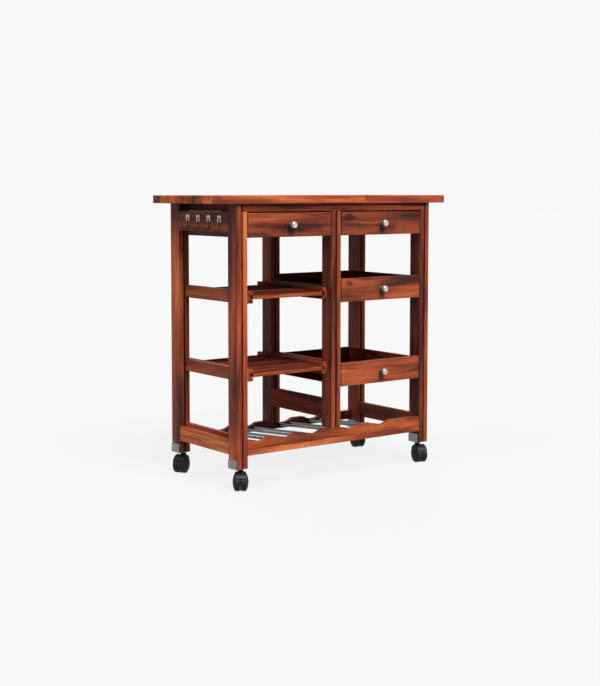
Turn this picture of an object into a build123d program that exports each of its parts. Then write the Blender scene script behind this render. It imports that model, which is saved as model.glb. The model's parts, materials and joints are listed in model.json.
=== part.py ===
from build123d import *
import math
import os

os.makedirs("parts", exist_ok=True)

# A wooden bar cart: a solid top on two end frames and a middle frame, two pull-out
# shelves on the left, three drawers on the right and one on the left, a tilted
# bottle rack at the bottom, four hooks on the left end and four swivel casters.
# The front is -Y, the hooks are at -X and the floor is Z = 0. All sizes are in mm.

# ---- Driving dimensions ----
overall_height = 861.0
top_length = 856.0
top_depth = 380.0
top_thickness = 24.0
frame_length = 742.0
frame_depth = 362.0
top_overhang_front = 9.0
knob_reach = 22.0

board = 15.0
leg_groove = 6.0
leg_depth = 48.0
leg_foot = 67.0
filler_setback = 9.0
apron_height = 23.0
edge_break = 0.8
glue_gap = 0.1

middle_left = -25.0
middle_front_foot = 152.0
middle_back_foot = 124.5

hook_rail_height = 60.0
end_bottom_rail = (105.0, 148.5)
inner_bottom_rail = (123.0, 159.0)
upper_rail = (740.0, 776.0)
mid_rail_bottoms = {"left": (551.0, 322.0), "right": (551.0, 290.0)}
mid_rail_height = 36.0
low_rail = (180.0, 239.0)

front_rail_bottom = 104.0
front_rail_top = 122.0
front_rail_depth = 30.0
rack_bar_depth = 18.0
trough_radius = 70.0
trough_depth = 11.5
crest_radius = 12.0
left_trough_first = -298.0
left_trough_pitch = 100.5
right_troughs = (50.0, 172.0)
rod_radius = 4.0
rod_half_spacing = 22.0
rod_front_height = 136.0
rod_back_height = 108.0
rod_end_depth = 10.0

shelf_levels = (564.5, 335.5)
shelf_thickness = 12.0
runner_height = 35.0
runner_width = 17.0
spacer_width = 18.0
shelf_groove_depth = 8.0
shelf_side_gap = 0.4
shelf_face_gap = 0.3
shelf_tongue_setback = 12.0
runner_setback = 23.0
runner_overrun = 4.0

drawer_front_height = 71.0
drawer_front_gap = 3.0
drawer_bottoms = {"top": 739.5, "middle": 536.0, "lower": 276.5}
drawer_side = 13.0
drawer_side_gap = 12.5
drawer_box_length = 326.0
drawer_panel = 5.0
drawer_panel_lift = 8.0
batten_height = 15.0
batten_bite = 6.5
batten_gap = 0.4

knob_radius = 12.5
knob_neck_radius = 5.0
knob_foot_radius = 8.0
knob_rim = -18.5
knob_screw_radius = 2.4

hook_spots = (-91.0, -34.0, 23.0, 80.0)
hook_height = 793.0
hook_plate_width = 18.0
hook_plate_height = 20.0
hook_wire_radius = 1.5
hook_bend_radius = 11.0
hook_stem = 24.0

sheet = 2.0
bracket_length = 42.0
bracket_ear = 26.0
bracket_corner = 6.0
screw_radius = 1.8
screw_head_radius = 3.2
screw_head_height = 1.4
screw_depth = 10.0

wheel_radius = 27.0
wheel_half_width = 23.5
tread_edge = 16.3
web_half = 1.8
web_radius = 25.5
wheel_inner = 2.2
hood_radius = 30.2
hood_inner_radius = 28.2
hood_half_width = 16.0
hood_skirt = 15.0
axle_radius = 4.0
axle_half = 14.0
running_gap = 0.06
caster_trail = 14.0
neck_radius = 8.0
neck_gap = 0.4
stem_radius = 5.0
stem_inset = {"left": 10.0, "right": 0.0}

# ---- Places worked out from the sizes above ----
top_under = overall_height - top_thickness
apron_under = top_under - apron_height
front = -(frame_depth - knob_reach + top_overhang_front) / 2
back = front + frame_depth
outer = frame_length / 2
leg_width = 2 * board + leg_groove
bay_edge = outer - leg_width
middle_right = middle_left + leg_width
front_inner = front + leg_depth
back_inner = back - leg_depth
middle_y = (front + back) / 2
sides = {"left": -1, "right": 1}
leg_spans = {"front": (front, front_inner), "back": (back_inner, back)}
outer_layer = (bay_edge + board + leg_groove, outer)
inner_layer = (bay_edge, bay_edge + board)
middle_layers = {
    "left": (middle_left, middle_left + board),
    "right": (middle_right - board, middle_right),
}
between_legs = (front_inner, back_inner)
bays = {"left": (-bay_edge, middle_left), "right": (middle_right, bay_edge)}


def flip(span, side):
    """The same span on the left (-1) or right (1) of the middle."""
    return tuple(sorted(side * value for value in span))


def add_board(x_span, y_span, z_span, mode=Mode.ADD):
    """A board that fills the three spans."""
    spans = (x_span, y_span, z_span)
    with Locations(tuple((low + high) / 2 for low, high in spans)):
        Box(*(high - low for low, high in spans), mode=mode)


def dome_radius(rise, reach):
    """The radius of a sphere that rises this far over this reach from its pole."""
    return (rise**2 + reach**2) / (2 * rise)


def save(piece, name):
    """Labels a finished piece and writes its STEP file."""
    piece.part.label = name
    export_step(piece.part, f"parts/{name}.step")


def trough_centres():
    """The five bottle troughs of the rack, from left to right."""
    left = [left_trough_first + left_trough_pitch * place for place in range(3)]
    return left + list(right_troughs)


def rod_plane(x):
    """A plane at a rod's front end, looking along the rod towards the back bar."""
    start = Vector(x, front + rack_bar_depth - rod_end_depth, rod_front_height)
    end = Vector(x, back - rack_bar_depth + rod_end_depth, rod_back_height)
    return Plane(origin=start, x_dir=(1, 0, 0), z_dir=end - start), (end - start).length


def add_rods(mode=Mode.ADD):
    """Two steel rods under each bottle, sloping down to the back bar."""
    for centre in trough_centres():
        for offset in (-rod_half_spacing, rod_half_spacing):
            plane, length = rod_plane(centre + offset)
            with BuildSketch(plane) as rod_end:
                Circle(rod_radius)
            extrude(rod_end.sketch, amount=length, mode=mode)


def bracket_span(leg):
    """A caster bracket's reach along Y, set against the back edge of its leg."""
    edge = leg_spans[leg][1]
    return edge - bracket_length, edge


def stem_place(side_name, leg):
    """Where a caster's swivel stem stands, on the floor plan."""
    x = sides[side_name] * (outer - leg_width / 2 - stem_inset[side_name])
    return x, sum(bracket_span(leg)) / 2


def bracket_screws():
    """Where the bracket screws enter: plane origins and directions into the wood."""
    for side in sides.values():
        for leg in leg_spans:
            y = bracket_span(leg)[1] - 10
            z = leg_foot + bracket_ear - 10
            yield Vector(side * outer, y, z), Vector(-side, 0, 0)
            yield Vector(side * bay_edge, y, z), Vector(side, 0, 0)


def hook_screws():
    """Where the hook screws enter the hook rail, two to each plate."""
    for spot in hook_spots:
        for offset in (-6.0, 6.0):
            yield Vector(-outer, middle_y + spot + offset, hook_height), Vector(1, 0, 0)


def add_screws(places, plate, mode=Mode.ADD):
    """Round-headed screws through a plate into wood, or the holes they need."""
    for place, inward in places:
        face = Plane(origin=place - inward * plate, z_dir=inward)
        with BuildSketch(face) as shank:
            Circle(screw_radius)
        extrude(shank.sketch, amount=screw_depth + plate, mode=mode)
        if mode == Mode.ADD:
            with BuildSketch(face) as head:
                Circle(screw_head_radius)
            extrude(head.sketch, amount=-screw_head_height)


# ---- Table top ----
with BuildPart() as table_top:
    top_span = (front - top_overhang_front, front - top_overhang_front + top_depth)
    add_board((-top_length / 2, top_length / 2), top_span, (top_under, overall_height))
    fillet(table_top.edges(), 1.5)
save(table_top, "table_top")

# ---- End frames: an outer and an inner layer of boards with a groove between ----
for side_name, side in sides.items():
    outside = flip(outer_layer, side)
    inside = flip(inner_layer, side)
    layers = {"outer": (outside, top_under), "inner": (inside, apron_under)}

    for layer, (x_span, board_top) in layers.items():
        for leg, y_span in leg_spans.items():
            with BuildPart() as leg_board:
                add_board(x_span, y_span, (leg_foot, board_top))
                chamfer(leg_board.edges().filter_by(Axis.Z), edge_break)
                add_screws(bracket_screws(), sheet, mode=Mode.SUBTRACT)
            save(leg_board, f"{side_name}_{leg}_{layer}_board")

    with BuildPart() as hook_rail:
        add_board(outside, between_legs, (apron_under - hook_rail_height, apron_under))
        chamfer(hook_rail.edges().filter_by(Axis.Y), edge_break)
        if side_name == "left":
            add_screws(hook_screws(), sheet, mode=Mode.SUBTRACT)
    save(hook_rail, f"{side_name}_outer_top_rail")

    with BuildPart() as end_rail:
        add_board(outside, between_legs, end_bottom_rail)
        chamfer(end_rail.edges().filter_by(Axis.Y), edge_break)
    save(end_rail, f"{side_name}_outer_bottom_rail")

    with BuildPart() as mid_rails:
        for bottom in mid_rail_bottoms[side_name]:
            add_board(inside, between_legs, (bottom, bottom + mid_rail_height))
        chamfer(mid_rails.edges().filter_by(Axis.Y), edge_break)
    save(mid_rails, f"{side_name}_mid_rails")

    with BuildPart() as inner_rails:
        for z_span in (upper_rail, inner_bottom_rail):
            add_board(inside, between_legs, z_span)
        chamfer(inner_rails.edges().filter_by(Axis.Y), edge_break)
    save(inner_rails, f"{side_name}_inner_rails")

# ---- Middle frame: two posts of two boards, and the rails between them ----
post_feet = {"front": middle_front_foot, "back": middle_back_foot}
for layer, x_span in middle_layers.items():
    with BuildPart() as post_boards:
        for leg, y_span in leg_spans.items():
            add_board(x_span, y_span, (post_feet[leg], apron_under))
        chamfer(post_boards.edges().filter_by(Axis.Z), edge_break)
    save(post_boards, f"middle_{layer}_post_boards")

with BuildPart() as middle_upper_rails:
    for x_span in middle_layers.values():
        add_board(x_span, between_legs, upper_rail)
save(middle_upper_rails, "middle_upper_rails")

with BuildPart() as middle_rails:
    for bottom in mid_rail_bottoms["left"]:
        add_board(middle_layers["left"], between_legs, (bottom, bottom + mid_rail_height))
    add_board(middle_layers["left"], between_legs, low_rail)
    chamfer(middle_rails.edges().filter_by(Axis.Y), edge_break)
save(middle_rails, "middle_rails")

# ---- Filler strips that hold the two boards of each leg and post apart ----
with BuildPart() as filler_strips:
    for leg, (low, high) in leg_spans.items():
        y_span = (low + filler_setback, high - filler_setback)
        for side in sides.values():
            add_board(flip((bay_edge + board, bay_edge + board + leg_groove), side),
                      y_span, (leg_foot, apron_under))
        add_board((middle_left + board, middle_right - board),
                  y_span, (post_feet[leg], apron_under))
save(filler_strips, "filler_strips")

# ---- Apron under the top ----
apron_reach = bay_edge + board
apron = (apron_under, top_under)
for name, y_span in {"front": (front, front + board), "back": (back - board, back)}.items():
    with BuildPart() as long_apron:
        add_board((-apron_reach, apron_reach), y_span, apron)
    save(long_apron, f"{name}_top_rail")

with BuildPart() as cross_rails:
    for x_span in (flip(inner_layer, -1), middle_layers["left"], inner_layer):
        add_board(x_span, (front + board, back - board), apron)
save(cross_rails, "cross_top_rails")

# ---- Bottom rail and bottle rack ----
with BuildPart() as front_bottom_rail:
    add_board((-bay_edge, bay_edge), (front, front + front_rail_depth),
              (front_rail_bottom, front_rail_top))
    chamfer(front_bottom_rail.edges().filter_by(Axis.X), edge_break)
save(front_bottom_rail, "front_bottom_rail")

rack_bars = {
    "front": ((front, front + rack_bar_depth), (front_rail_top, middle_front_foot)),
    "back": ((back - rack_bar_depth, back), (front_rail_bottom - 8, middle_back_foot)),
}
for name, (y_span, z_span) in rack_bars.items():
    with BuildPart() as rack_bar:
        add_board((-bay_edge, bay_edge), y_span, z_span)
        with BuildSketch(Plane.XZ.offset(-y_span[1])):
            for centre in trough_centres():
                with Locations((centre, z_span[1] - trough_depth + trough_radius)):
                    Circle(trough_radius)
        extrude(amount=rack_bar_depth, mode=Mode.SUBTRACT)
        crests = rack_bar.edges().filter_by(Axis.Y)
        crests = crests.filter_by_position(Axis.Z, z_span[1] - 0.1, z_span[1] + 0.1)
        fillet(crests.filter_by_position(Axis.X, 1 - bay_edge, bay_edge - 1), crest_radius)
        add_rods(mode=Mode.SUBTRACT)
    save(rack_bar, f"{name}_rack_bar")

with BuildPart() as rack_rods:
    add_rods()
save(rack_rods, "rack_rods")

# ---- Pull-out shelves on grooved runners ----
runner_span = (front + runner_setback, back + runner_overrun)
left_runner = (-bay_edge + spacer_width, -bay_edge + spacer_width + runner_width)
right_runner = (middle_left - runner_width, middle_left)
groove_span = (left_runner[1] - shelf_groove_depth, right_runner[0] + shelf_groove_depth)

with BuildPart() as shelf_spacers:
    for level in shelf_levels:
        add_board((-bay_edge, -bay_edge + spacer_width), runner_span,
                  (level - runner_height / 2, level + runner_height / 2))
save(shelf_spacers, "shelf_spacers")

for number, level in enumerate(shelf_levels, start=1):
    with BuildPart() as shelf_runners:
        for x_span in (left_runner, right_runner):
            add_board(x_span, runner_span, (level - runner_height / 2, level + runner_height / 2))
        half_groove = shelf_thickness / 2 + shelf_face_gap
        add_board(groove_span, runner_span, (level - half_groove, level + half_groove),
                  mode=Mode.SUBTRACT)
    save(shelf_runners, f"shelf_{number}_runners")

    shelf_z = (level - shelf_thickness / 2, level + shelf_thickness / 2)
    with BuildPart() as shelf:
        add_board((left_runner[1] + shelf_side_gap, right_runner[0] - shelf_side_gap),
                  runner_span, shelf_z)
        add_board((groove_span[0] + shelf_side_gap, groove_span[1] - shelf_side_gap),
                  (runner_span[0] + shelf_tongue_setback, runner_span[1]), shelf_z)
        chamfer(shelf.edges().filter_by(Axis.X).group_by(Axis.Y)[0], edge_break)
    save(shelf, f"shelf_{number}")

# ---- Drawers ----
# Each drawer hangs on two battens that run in grooves along its sides.
drawers = {
    "left_top": ("left", drawer_bottoms["top"]),
    "right_top": ("right", drawer_bottoms["top"]),
    "right_middle": ("right", drawer_bottoms["middle"]),
    "right_lower": ("right", drawer_bottoms["lower"]),
}
box_span = (front + board, front + board + drawer_box_length)

with BuildPart() as drawer_battens:
    for bay, bottom in drawers.values():
        middle = bottom + drawer_front_height / 2
        z_span = (middle - batten_height / 2, middle + batten_height / 2)
        reach = drawer_side_gap + batten_bite
        low, high = bays[bay]
        for x_span in ((low, low + reach), (high - reach, high)):
            add_board(x_span, (box_span[0] + 1, box_span[1]), z_span)
save(drawer_battens, "drawer_battens")

for name, (bay, bottom) in drawers.items():
    low, high = bays[bay]
    centre = (low + high) / 2
    middle = bottom + drawer_front_height / 2

    with BuildPart() as drawer_front:
        add_board((low + drawer_front_gap, high - drawer_front_gap),
                  (front, front + board), (bottom, bottom + drawer_front_height))
        fillet(drawer_front.faces().sort_by(Axis.Y)[0].edges(), 1.2)
        with BuildSketch(Plane(origin=(centre, front, middle), z_dir=(0, 1, 0))):
            Circle(knob_screw_radius)
        extrude(amount=board, mode=Mode.SUBTRACT)
    save(drawer_front, f"{name}_drawer_front")

    side_low = low + drawer_side_gap
    side_high = high - drawer_side_gap
    box_z = (bottom + 2, bottom + drawer_front_height - 1)
    panel_z = (box_z[0] + drawer_panel_lift, box_z[0] + drawer_panel_lift + drawer_panel)
    half_slot = batten_height / 2 + batten_gap
    slot = batten_bite + batten_gap
    with BuildPart() as drawer_box:
        for x_span in ((side_low, side_low + drawer_side), (side_high - drawer_side, side_high)):
            add_board(x_span, box_span, box_z)
        for x_span in ((side_low, side_low + slot), (side_high - slot, side_high)):
            add_board(x_span, box_span, (middle - half_slot, middle + half_slot), mode=Mode.SUBTRACT)
        panel_reach = drawer_side / 2
        add_board((side_low + panel_reach - glue_gap, side_high - panel_reach + glue_gap), box_span,
                  (panel_z[0] - glue_gap, panel_z[1] + glue_gap), mode=Mode.SUBTRACT)
        add_board((side_low + panel_reach, side_high - panel_reach),
                  (box_span[0], box_span[1] - drawer_side - glue_gap), panel_z)
        add_board((side_low + drawer_side + glue_gap, side_high - drawer_side - glue_gap),
                  (box_span[1] - drawer_side, box_span[1]), box_z)
    save(drawer_box, f"{name}_drawer_box")

    knob_plane = Plane(origin=(centre, front, middle), x_dir=(1, 0, 0), z_dir=(0, 0, 1))
    with BuildPart() as knob:
        with BuildSketch(knob_plane):
            with BuildLine():
                Polyline((0, board), (knob_screw_radius, board), (knob_screw_radius, 0),
                         (knob_foot_radius, 0), (knob_foot_radius, -2), (knob_neck_radius, -4),
                         (knob_neck_radius, -8), (knob_radius - 1.5, -12), (knob_radius, -14),
                         (knob_radius, knob_rim))
                RadiusArc((knob_radius, knob_rim), (0, -knob_reach),
                          dome_radius(knob_reach + knob_rim, knob_radius))
                Line((0, -knob_reach), (0, board))
            make_face()
        revolve(axis=Axis((centre, front, middle), (0, 1, 0)))
    save(knob, f"{name}_knob")

# ---- Hooks on the left end ----
with BuildPart() as hooks:
    for spot in hook_spots:
        y = middle_y + spot
        add_board((-outer - sheet, -outer),
                  (y - hook_plate_width / 2, y + hook_plate_width / 2),
                  (hook_height - hook_plate_height / 2, hook_height + hook_plate_height / 2))
        x = -outer - sheet - hook_wire_radius * 0.9
        stem_end = hook_height - hook_stem
        with BuildLine() as wire:
            Line((x, y, hook_height + 4), (x, y, stem_end))
            ThreePointArc((x, y, stem_end),
                          (x - hook_bend_radius, y, stem_end - hook_bend_radius),
                          (x - 2 * hook_bend_radius, y, stem_end))
            Line((x - 2 * hook_bend_radius, y, stem_end),
                 (x - 2 * hook_bend_radius, y, stem_end + 11))
        with BuildSketch(Plane(origin=(x, y, hook_height + 4), z_dir=(0, 0, -1))):
            Circle(hook_wire_radius)
        sweep(path=wire.wires()[0])
        with Locations((x - 2 * hook_bend_radius, y, stem_end + 11)):
            Sphere(hook_wire_radius * 1.3)
    add_screws(hook_screws(), sheet, mode=Mode.SUBTRACT)
save(hooks, "hooks")

with BuildPart() as hook_screw_set:
    add_screws(hook_screws(), sheet)
save(hook_screw_set, "hook_screws")

# ---- Caster brackets: a folded steel plate round the foot of each leg ----
with BuildPart() as caster_brackets:
    for side_name, side in sides.items():
        for leg in leg_spans:
            y_span = bracket_span(leg)
            z_low = leg_foot - sheet
            add_board(flip((bay_edge - sheet, outer + sheet), side), y_span, (z_low, leg_foot))
            for x_span in ((bay_edge - sheet, bay_edge), (outer, outer + sheet)):
                add_board(flip(x_span, side), y_span, (z_low, leg_foot + bracket_ear))
            with Locations((*stem_place(side_name, leg), z_low + sheet / 2)):
                Cylinder(stem_radius + running_gap, 2 * sheet, mode=Mode.SUBTRACT)
    ear_tops = caster_brackets.edges().filter_by(Axis.X).group_by(Axis.Z)[-1]
    fillet(ear_tops, bracket_corner)
    add_screws(bracket_screws(), sheet, mode=Mode.SUBTRACT)
save(caster_brackets, "caster_brackets")

with BuildPart() as bracket_screw_set:
    add_screws(bracket_screws(), sheet)
save(bracket_screw_set, "bracket_screws")

# ---- Casters: a swivelling hood with a pair of wheels on one axle ----
# The angle is the way from the swivel stem to the axle, from +X towards +Y.
caster_angles = {
    ("left", "front"): -124.0,
    ("left", "back"): -150.0,
    ("right", "front"): -106.0,
    ("right", "back"): -102.0,
}
for (side_name, leg), angle in caster_angles.items():
    stem = Vector(*stem_place(side_name, leg), 0)
    trail = Vector(math.cos(math.radians(angle)), math.sin(math.radians(angle)), 0)
    hub = stem + trail * caster_trail + Vector(0, 0, wheel_radius)
    across = Vector(0, 0, 1).cross(trail)
    axle_plane = Plane(origin=hub, x_dir=trail, z_dir=across)
    neck_bottom = wheel_radius + hood_inner_radius - 8
    neck_top = leg_foot - sheet - neck_gap

    with BuildPart() as hood:
        with BuildSketch(axle_plane):
            Circle(hood_radius)
        extrude(amount=hood_half_width, both=True)
        with BuildSketch(Plane.XY.offset(neck_bottom)):
            with Locations((stem.X, stem.Y)):
                Circle(neck_radius)
        extrude(amount=neck_top - neck_bottom)
        for way in (-1, 1):
            with BuildSketch(axle_plane.offset(way * web_half)):
                Circle(hood_inner_radius)
            extrude(amount=way * hood_half_width * 2, mode=Mode.SUBTRACT)
        with BuildSketch(Plane.XY.offset(wheel_radius + hood_skirt)):
            with Locations((hub.X, hub.Y)):
                Circle(2 * hood_radius)
        extrude(amount=-2 * wheel_radius, mode=Mode.SUBTRACT)
        with BuildSketch(axle_plane):
            Circle(web_radius)
        extrude(amount=web_half, both=True)
        with BuildSketch(axle_plane):
            Circle(axle_radius)
        extrude(amount=axle_half, both=True)
        with BuildSketch(Plane.XY.offset(neck_top)):
            with Locations((stem.X, stem.Y)):
                Circle(stem_radius)
        extrude(amount=leg_foot - 0.2 - neck_top)
    save(hood, f"{side_name}_{leg}_caster_hood")

    bore = axle_radius + running_gap
    with BuildPart() as wheels:
        for way in (-1, 1):
            radial_plane = Plane(origin=hub, x_dir=across * way, z_dir=trail * way)
            with BuildSketch(radial_plane):
                with BuildLine():
                    Polyline((axle_half + 0.5, 0), (axle_half + 0.5, bore), (wheel_inner, bore),
                             (wheel_inner, wheel_radius - 1), (wheel_inner + 1, wheel_radius),
                             (tread_edge - 1, wheel_radius), (tread_edge, wheel_radius - 1))
                    RadiusArc((tread_edge, wheel_radius - 1), (wheel_half_width, 0),
                              dome_radius(wheel_half_width - tread_edge, wheel_radius - 1))
                    Line((wheel_half_width, 0), (axle_half + 0.5, 0))
                make_face()
            revolve(axis=Axis(hub, across))
    save(wheels, f"{side_name}_{leg}_caster_wheels")
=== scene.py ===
"""Finishes a wooden bar cart on swivel casters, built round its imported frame.

The boards and the glued-up top keep their frame meshes and get a lacquered, strongly figured
hardwood. The brackets and rack rods keep theirs too, in plated steel. The casters, knobs, hooks
and screws are new surfaces that stand for their frame nodes.
Lengths are in metres, the floor is Z = 0, the front is -Y and the hooks are at -X.
"""
import json
import math

import bpy
import numpy as np
from bpy.props import FloatProperty, FloatVectorProperty, IntProperty, PointerProperty
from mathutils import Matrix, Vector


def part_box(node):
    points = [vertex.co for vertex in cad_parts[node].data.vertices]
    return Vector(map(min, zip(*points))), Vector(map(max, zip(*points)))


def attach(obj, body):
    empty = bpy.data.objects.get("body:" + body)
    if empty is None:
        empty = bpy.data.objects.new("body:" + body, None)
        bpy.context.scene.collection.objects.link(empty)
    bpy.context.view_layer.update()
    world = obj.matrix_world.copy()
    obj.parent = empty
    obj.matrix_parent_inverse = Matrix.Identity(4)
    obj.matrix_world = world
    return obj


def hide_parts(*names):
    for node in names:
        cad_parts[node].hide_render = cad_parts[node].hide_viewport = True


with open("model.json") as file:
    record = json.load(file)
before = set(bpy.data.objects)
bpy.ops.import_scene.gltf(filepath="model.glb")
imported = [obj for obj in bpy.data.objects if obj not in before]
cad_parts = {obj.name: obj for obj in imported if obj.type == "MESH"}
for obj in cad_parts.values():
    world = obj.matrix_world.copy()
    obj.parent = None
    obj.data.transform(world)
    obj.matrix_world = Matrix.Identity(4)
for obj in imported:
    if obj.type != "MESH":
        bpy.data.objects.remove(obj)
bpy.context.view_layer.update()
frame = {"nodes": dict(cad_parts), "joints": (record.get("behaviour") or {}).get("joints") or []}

bl_info = {
    "name": "Bar Cart Finisher",
    "version": (1, 0, 0),
    "blender": (4, 5, 0),
    "location": "View3D > Sidebar > Bar Cart",
    "description": "Finishes a wooden bar cart on casters round its frame",
    "category": "Object",
}

# Half the length of a caster's axle, and how deep the hook and bracket screws go.
AXLE_HALF = 0.014
SCREW_DEPTH = 0.010
SIDES = ("left", "right")
LEGS = ("front", "back")
DRAWERS = ("left_top", "right_top", "right_middle", "right_lower")


# ---- Places read from the frame ----

def joint(name):
    """The frame's joint of this name."""
    return next(entry for entry in frame["joints"] if entry["name"] == name)


def middle_of(node):
    """The centre of a node's box."""
    low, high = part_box(node)
    return (np.array(low) + np.array(high)) / 2


def size_of(node):
    """The three sides of a node's box."""
    low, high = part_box(node)
    return np.array(high) - np.array(low)


# ---- Settings ----

def colour(label, words, value):
    """A linear colour that the user may change."""
    return FloatVectorProperty(name=label, description=words, subtype="COLOR", size=3,
                               default=value, min=0.0, max=1.0)


def length(label, words, value):
    """A length in metres that the user may change."""
    return FloatProperty(name=label, description=words, default=value, min=0.0,
                         subtype="DISTANCE", unit="LENGTH", precision=5)


def factor(label, words, value, top=1.0):
    """A plain number from zero up."""
    return FloatProperty(name=label, description=words, default=value, min=0.0, max=top)


class CartWoodSettings(bpy.types.PropertyGroup):
    """Colours and lacquer of the hardwood."""
    gold: colour("Gold", "The palest sapwood streaks", (0.600, 0.185, 0.060))
    light: colour("Light", "The lighter grain", (0.440, 0.098, 0.034))
    middle: colour("Middle", "The main tone of the heartwood", (0.270, 0.056, 0.020))
    dark: colour("Dark", "The darker grain", (0.112, 0.024, 0.0135))
    deep: colour("Deep", "The nearly black veins and knots", (0.048, 0.0115, 0.0085))
    lacquer: factor("Lacquer", "How much clear coat lies over the wood", 0.08)
    lacquer_roughness: factor("Lacquer roughness", "How satin the clear coat is", 0.30)
    # The worn edge's paling is partly wear and partly a painted highlight on the edges.
    edge: length("Worn edge", "How far the edges are rounded and paled by wear", 0.0011)


class CartMetalSettings(bpy.types.PropertyGroup):
    """Colours of the metal parts."""
    nickel: colour("Nickel", "Brushed nickel of the knobs", (0.84, 0.81, 0.76))
    steel: colour("Steel", "Bright steel of the rack rods", (0.255, 0.262, 0.270))
    plate: colour("Plate", "Plated steel of the hooks and screws", (0.80, 0.76, 0.72))
    zinc: colour("Zinc", "Zinc plate of the caster brackets", (0.42, 0.43, 0.43))


class CartCasterSettings(bpy.types.PropertyGroup):
    """Sizes and colour of the twin-wheel casters."""
    plastic: colour("Plastic", "The moulded nylon", (0.0050, 0.0050, 0.0053))
    wheel_radius: length("Wheel radius", "From the axle to the floor", 0.027)
    tread_edge: length("Tread edge", "From the middle of the caster to the tread's edge", 0.0165)
    half_width: length("Half width", "From the middle of the caster to the top of a dome", 0.0235)
    gap: length("Half gap", "Half the gap between the two wheels", 0.0022)
    hood_radius: length("Hood radius", "Outside of the hood", 0.0302)
    hood_wall: length("Hood wall", "Thickness of the hood", 0.0020)
    hood_half_width: length("Hood half width", "Half the width of the hood", 0.016)
    skirt: length("Skirt", "How far the hood's lip is above the axle", 0.015)
    facets: IntProperty(name="Facets", description="Facets round each wheel", default=72,
                        min=24, max=160)


class CartKnobSettings(bpy.types.PropertyGroup):
    """Sizes of the drawer knobs."""
    radius: length("Radius", "Outside of the knob's cap", 0.0125)
    reach: length("Reach", "How far the knob stands out of the drawer", 0.022)
    neck: length("Neck radius", "The thinnest part of the stem", 0.0048)


class CartHookSettings(bpy.types.PropertyGroup):
    """Sizes of the hooks on the end of the cart."""
    wire: length("Wire radius", "Half the wire's thickness", 0.0015)
    bend: length("Bend radius", "The radius of the hook's bend", 0.011)
    plate: length("Plate thickness", "Thickness of the plate on the rail", 0.002)


class CartStageSettings(bpy.types.PropertyGroup):
    """The camera, the lights and the floor."""
    camera_place: FloatVectorProperty(name="Camera", description="Where the camera stands", size=3,
                                      default=(-2.496, -3.2811, 0.8755), subtype="TRANSLATION")
    camera_turn: FloatProperty(name="Turn", description="The camera's turn about Z from +Y",
                               default=math.radians(-36.643), subtype="ANGLE")
    camera_dip: FloatProperty(name="Dip", description="How far the camera looks down",
                              default=math.radians(4.482), subtype="ANGLE")
    focal_length: FloatProperty(name="Focal length", description="Camera lens in millimetres",
                                default=68.97, min=10.0, subtype="DISTANCE_CAMERA")
    shift_x: FloatProperty(name="Shift X", description="Sideways shift of the frame", default=0.0158)
    shift_y: FloatProperty(name="Shift Y", description="Upward shift of the frame", default=-0.0721)
    backdrop: colour("Backdrop", "The pale surroundings", (0.930, 0.930, 0.930))
    floor_half: length("Floor half width", "From the middle of the floor to its edge", 40.0)
    floor_glow: factor("Floor glow", "The floor's own light, which evens out its shadows", 0.830, 2.0)
    diffuse_share: factor("Fill", "How much of the backdrop's light falls on the cart", 0.22)
    glossy_share: factor("Sheen", "How much of the backdrop shows in gloss", 0.62)
    key_power: factor("Key light", "Strength of the main light", 4.9, 50.0)


SETTINGS = {
    "cart_wood": CartWoodSettings,
    "cart_metal": CartMetalSettings,
    "cart_caster": CartCasterSettings,
    "cart_knob": CartKnobSettings,
    "cart_hook": CartHookSettings,
    "cart_stage": CartStageSettings,
}


# ---- Shader nodes ----

def add(tree, kind, *inputs, **settings):
    """Adds a shader node. Each input is a (socket, value or output socket) pair."""
    new = tree.nodes.new("ShaderNode" + kind)
    for key, value in settings.items():
        setattr(new, key, value)
    for socket, value in inputs:
        if isinstance(value, bpy.types.NodeSocket):
            tree.links.new(value, new.inputs[socket])
        else:
            new.inputs[socket].default_value = value
    return new


def maths(tree, operation, *values, clamp=False):
    """One Math node's result."""
    return add(tree, "Math", *enumerate(values), operation=operation, use_clamp=clamp).outputs[0]


def vector_maths(tree, operation, *values):
    """One Vector Math node's vector."""
    return add(tree, "VectorMath", *enumerate(values), operation=operation).outputs[0]


def noise(tree, place, stretch, detail=2.0, roughness=0.5, distortion=0.0):
    """Noise with this many features to the metre along each axis."""
    spread = vector_maths(tree, "MULTIPLY", place, stretch)
    return add(tree, "TexNoise", ("Vector", spread), ("Scale", 1.0), ("Detail", detail),
               ("Roughness", roughness), ("Distortion", distortion))


def remap(tree, value, low, high, new_low=0.0, new_high=1.0):
    """A value moved smoothly from one range to another."""
    return add(tree, "MapRange", ("Value", value), ("From Min", low), ("From Max", high),
               ("To Min", new_low), ("To Max", new_high), interpolation_type="SMOOTHSTEP").outputs[0]


def mix(tree, amount, first, second, blend="MIX"):
    """Two colours mixed."""
    node = add(tree, "Mix", (0, amount), data_type="RGBA", blend_type=blend)
    for socket, value in ((6, first), (7, second)):
        if isinstance(value, bpy.types.NodeSocket):
            tree.links.new(value, node.inputs[socket])
        else:
            node.inputs[socket].default_value = (*value, 1.0)
    return node.outputs[2]


def ramp(tree, value, stops, interpolation="LINEAR"):
    """A colour ramp through (position, colour) stops."""
    node = add(tree, "ValToRGB", ("Fac", value))
    node.color_ramp.interpolation = interpolation
    for spare in list(node.color_ramp.elements)[1:]:
        node.color_ramp.elements.remove(spare)
    for number, (position, shade) in enumerate(stops):
        stop = node.color_ramp.elements[0] if number == 0 else node.color_ramp.elements.new(position)
        stop.position = position
        stop.color = (*shade, 1.0)
    return node.outputs[0]


def scaled(tint, share):
    """A colour made darker or lighter by a share."""
    return tuple(share * part for part in tint)


def emboss(tree, shader, strength, distance, height):
    """Raises a shader's surface by a height."""
    bump = add(tree, "Bump", ("Strength", strength), ("Distance", distance), ("Height", height))
    tree.links.new(bump.outputs[0], shader.inputs["Normal"])


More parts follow.
